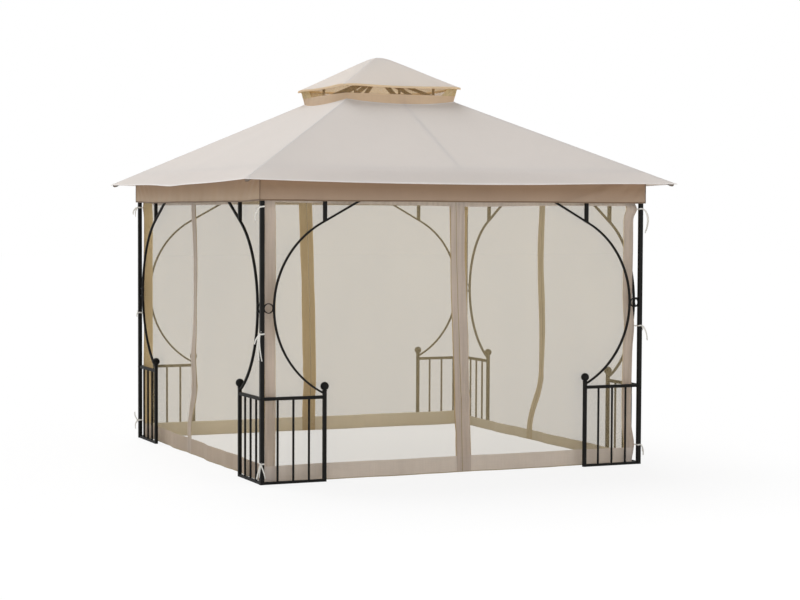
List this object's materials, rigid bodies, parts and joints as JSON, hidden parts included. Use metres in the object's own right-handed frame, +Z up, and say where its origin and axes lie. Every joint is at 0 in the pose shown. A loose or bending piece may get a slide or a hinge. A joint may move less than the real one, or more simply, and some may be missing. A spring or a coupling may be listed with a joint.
{
  "type": "garden gazebo",
  "caption": "Square garden gazebo with a slim dark metal frame, curved corner braces over low fences, a two-tier fabric roof with a netted vent, and hanging net walls.",
  "frame": {"origin": "on the ground, at the middle of the square plan", "axes": "+Z up, +X to the right along the front wall, +Y from the front wall to the back wall"},
  "size_m": [3, 3, 2.734],
  "materials": {
    "frame_paint": "satin near-black coating",
    "canopy_cloth": "matt light beige woven cloth",
    "valance_cloth": "matt taupe woven cloth",
    "vent_netting": "fine tan netting",
    "wall_netting": "fine tan see-through netting",
    "tie_tape": "matt cream woven tape"
  },
  "bodies": {
    "root": {"post_front_left": "frame_paint", "post_front_right": "frame_paint", "post_back_right": "frame_paint", "post_back_left": "frame_paint", "hip_rafter_front_left": "frame_paint", "hip_rafter_front_right": "frame_paint", "hip_rafter_back_right": "frame_paint", "hip_rafter_back_left": "frame_paint", "eave_beam_front": "frame_paint", "eave_beam_right": "frame_paint", "eave_beam_back": "frame_paint", "eave_beam_left": "frame_paint", "fence_front_left": "frame_paint", "fence_front_right": "frame_paint", "fence_right_front": "frame_paint", "fence_right_back": "frame_paint", "fence_back_right": "frame_paint", "fence_back_left": "frame_paint", "fence_left_back": "frame_paint", "fence_left_front": "frame_paint", "brace_front_left": "frame_paint", "brace_front_right": "frame_paint", "brace_right_front": "frame_paint", "brace_right_back": "frame_paint", "brace_back_right": "frame_paint", "brace_back_left": "frame_paint", "brace_left_back": "frame_paint", "brace_left_front": "frame_paint", "middle_rafters": "frame_paint", "crown_hub": "frame_paint", "upper_ribs": "frame_paint", "canopy_front": "canopy_cloth", "canopy_right": "canopy_cloth", "canopy_back": "canopy_cloth", "canopy_left": "canopy_cloth", "canopy_top": "canopy_cloth", "valance": "valance_cloth", "vent_net": "vent_netting", "net_wall_front": "wall_netting", "net_wall_right": "wall_netting", "net_wall_back": "wall_netting", "net_wall_left": "wall_netting", "net_ties": "tie_tape"}
  },
  "joints": []
}
